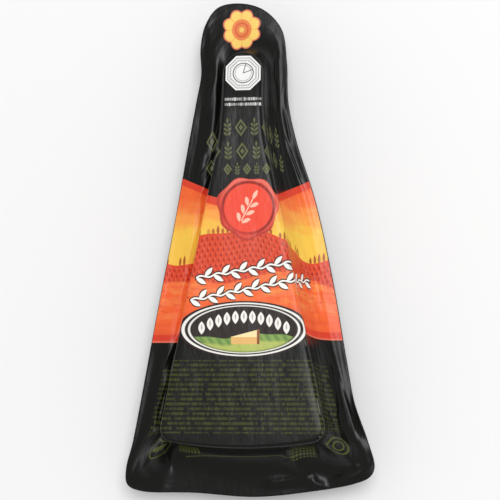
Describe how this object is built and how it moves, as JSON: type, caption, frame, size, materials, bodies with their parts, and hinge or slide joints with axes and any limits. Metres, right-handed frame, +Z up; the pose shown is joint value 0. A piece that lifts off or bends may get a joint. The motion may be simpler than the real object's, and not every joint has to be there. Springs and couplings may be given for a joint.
{
  "type": "vacuum-packed cheese wedge",
  "caption": "Cheese wedge sealed in printed film: flat raised face, sloping sides with creased corners, and a flat sealed rim with a narrow round head and a wide base.",
  "frame": {"origin": "centre of the pack's plan box, on the flat back it lies on", "axes": "+Y towards the wedge's tip and the round head, +X to the right seen from above, +Z up out of the printed face"},
  "size_m": [0.0902, 0.1801, 0.0375],
  "materials": {
    "film": "printed gloss film"
  },
  "bodies": {
    "root": {"pack": "film"}
  },
  "joints": []
}
